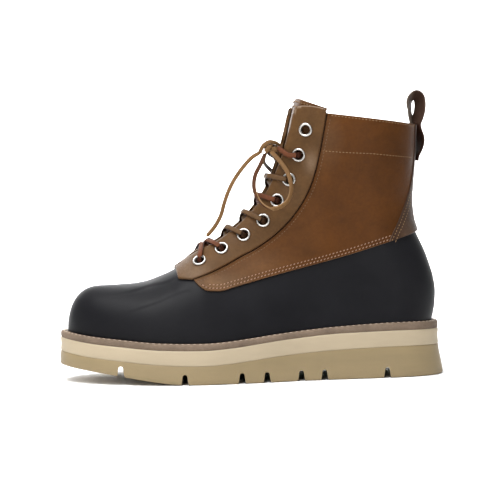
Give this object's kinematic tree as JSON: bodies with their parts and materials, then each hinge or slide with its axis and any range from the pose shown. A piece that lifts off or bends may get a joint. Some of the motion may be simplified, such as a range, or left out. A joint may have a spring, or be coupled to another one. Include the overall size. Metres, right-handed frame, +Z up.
{
  "type": "duck boot",
  "caption": "Left lace-up ankle boot with a rubber lower shell, leather shaft, pull loop, midsole and lugged wedge outsole, standing empty on its sole.",
  "frame": {"origin": "on the floor under the middle of the boot's bounding box, its laces' free cords left out", "axes": "+X from the toe to the heel, +Y towards the medial side of the foot, +Z up"},
  "size_m": [0.31, 0.1136, 0.227],
  "materials": {
    "gum_rubber": "matte gum rubber",
    "cream_foam": "matte foam",
    "welt_leather": "raw-edged leather",
    "footbed": "matte",
    "black_rubber": "matte black",
    "brown_leather": "satin oiled leather",
    "tongue_leather": "satin oiled leather",
    "loop_leather": "satin leather",
    "nickel": "polished nickel",
    "lace_rawhide": "matte rawhide"
  },
  "bodies": {
    "root": {"outsole": "gum_rubber", "midsole": "cream_foam", "welt": "welt_leather", "insole": "footbed", "upper_shell": "black_rubber", "upper_shaft": "brown_leather", "tongue": "tongue_leather", "pull_loop": "loop_leather", "eyelet_lateral_1": "nickel", "eyelet_lateral_2": "nickel", "eyelet_lateral_3": "nickel", "eyelet_lateral_4": "nickel", "eyelet_lateral_5": "nickel", "eyelet_lateral_6": "nickel", "eyelet_lateral_7": "nickel", "eyelet_lateral_8": "nickel", "eyelet_medial_1": "nickel", "eyelet_medial_2": "nickel", "eyelet_medial_3": "nickel", "eyelet_medial_4": "nickel", "eyelet_medial_5": "nickel", "eyelet_medial_6": "nickel", "eyelet_medial_7": "nickel", "eyelet_medial_8": "nickel", "lace_cross_1": "lace_rawhide", "lace_cross_2": "lace_rawhide", "lace_cross_3": "lace_rawhide", "lace_cross_4": "lace_rawhide", "lace_cross_5": "lace_rawhide", "lace_bar_top": "lace_rawhide", "lace_knot": "lace_rawhide", "lace_loop_lateral": "lace_rawhide", "lace_loop_medial": "lace_rawhide", "lace_end_lateral": "lace_rawhide", "lace_end_medial": "lace_rawhide"}
  },
  "joints": []
}
